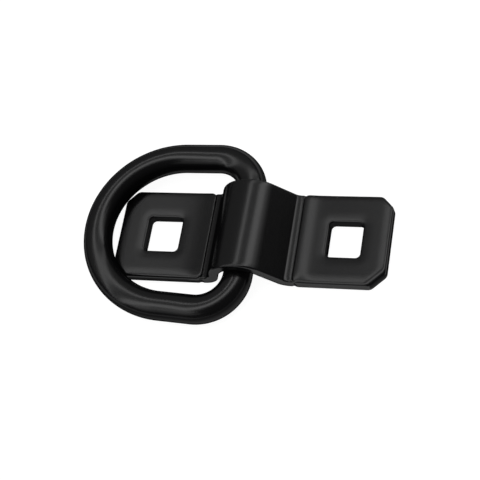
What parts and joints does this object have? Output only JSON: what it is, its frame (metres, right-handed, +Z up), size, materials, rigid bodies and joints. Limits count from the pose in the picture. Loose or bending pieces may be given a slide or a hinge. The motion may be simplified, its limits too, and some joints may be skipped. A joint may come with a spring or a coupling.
{
  "type": "bolt on d ring tie down",
  "caption": "Forged D-shaped lashing ring held under the saddle of a pressed steel bracket with square bolt holes in its flat pads.",
  "frame": {"origin": "on the deck plane that both pads rest on, under the middle of the saddle", "axes": "+X along the bracket to the pad that the ring leaves free, +Y across it along the ring's straight bar, +Z up off the deck"},
  "size_m": [0.1355, 0.085, 0.0192],
  "materials": {
    "bracket_coat": "satin black coat on pressed steel",
    "ring_coat": "satin black coat on forged steel"
  },
  "bodies": {
    "bracket": {"mounting_bracket": "bracket_coat"},
    "ring": {"d_ring": "ring_coat"}
  },
  "joints": [
    {"name": "ring_swing", "type": "hinge", "parent": "bracket", "child": "ring", "pos_m": [-0.0016, 0, 0.0065], "axis": [0, 1, 0], "range_deg": [0, 171]}
  ]
}
